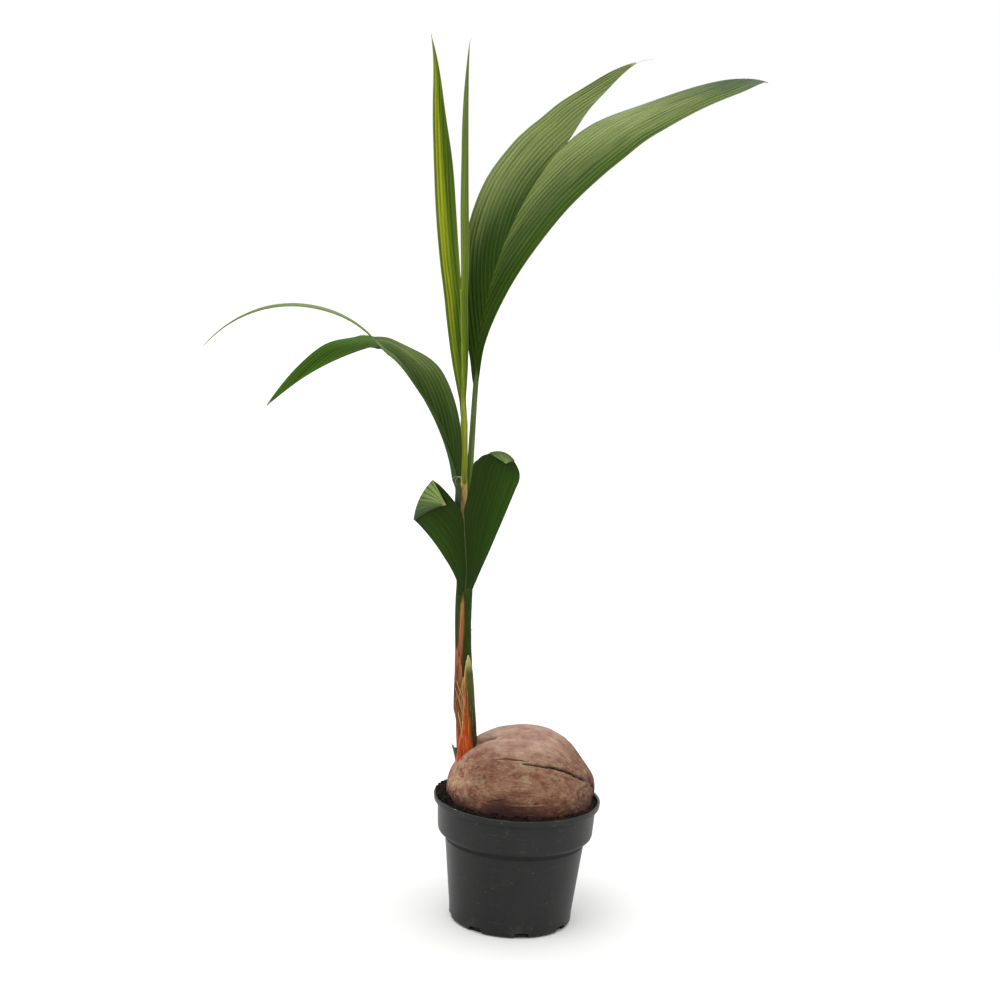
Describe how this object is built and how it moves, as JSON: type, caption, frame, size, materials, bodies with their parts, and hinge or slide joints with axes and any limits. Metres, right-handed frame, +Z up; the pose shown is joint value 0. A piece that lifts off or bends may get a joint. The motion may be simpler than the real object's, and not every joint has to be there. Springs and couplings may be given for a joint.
{
  "type": "potted coconut palm seedling",
  "caption": "Young coconut palm sprouted from a nut that lies on its side in a round plastic nursery pot, with arching split fronds and an upright new spear.",
  "frame": {"origin": "centre of the pot's flat underside", "axes": "+Z up; +X towards the side of the long right-hand frond; -Y is the front"},
  "size_m": [0.6339, 0.4203, 0.9869],
  "materials": {
    "pot_plastic": "satin",
    "soil": "rough",
    "husk": "rough fibrous",
    "sheath": "fibrous",
    "bract": "satin",
    "stalk": "satin",
    "blade": "satin",
    "lower_leaf": "satin",
    "leaf_underside": "matte"
  },
  "bodies": {
    "root": {"pot": "pot_plastic", "soil": "soil", "coconut_husk": "husk", "trunk": "sheath", "right_bract": "bract", "left_bract": "bract", "lower_leaf_left": "lower_leaf", "lower_leaf_right": "lower_leaf", "lower_leaf_left_tip": "leaf_underside", "lower_leaf_right_tip": "leaf_underside", "left_frond_stalk": "stalk", "left_frond_near_blade": "blade", "left_frond_near_lobe": "blade", "left_frond_far_blade": "blade", "left_frond_far_lobe": "blade", "spear_stalk": "stalk", "spear_left_blade": "blade", "spear_left_lobe": "blade", "spear_right_blade": "blade", "spear_right_lobe": "blade", "right_frond_stalk": "stalk", "right_frond_near_blade": "blade", "right_frond_near_lobe": "blade", "right_frond_far_blade": "blade", "right_frond_far_lobe": "blade"}
  },
  "joints": []
}
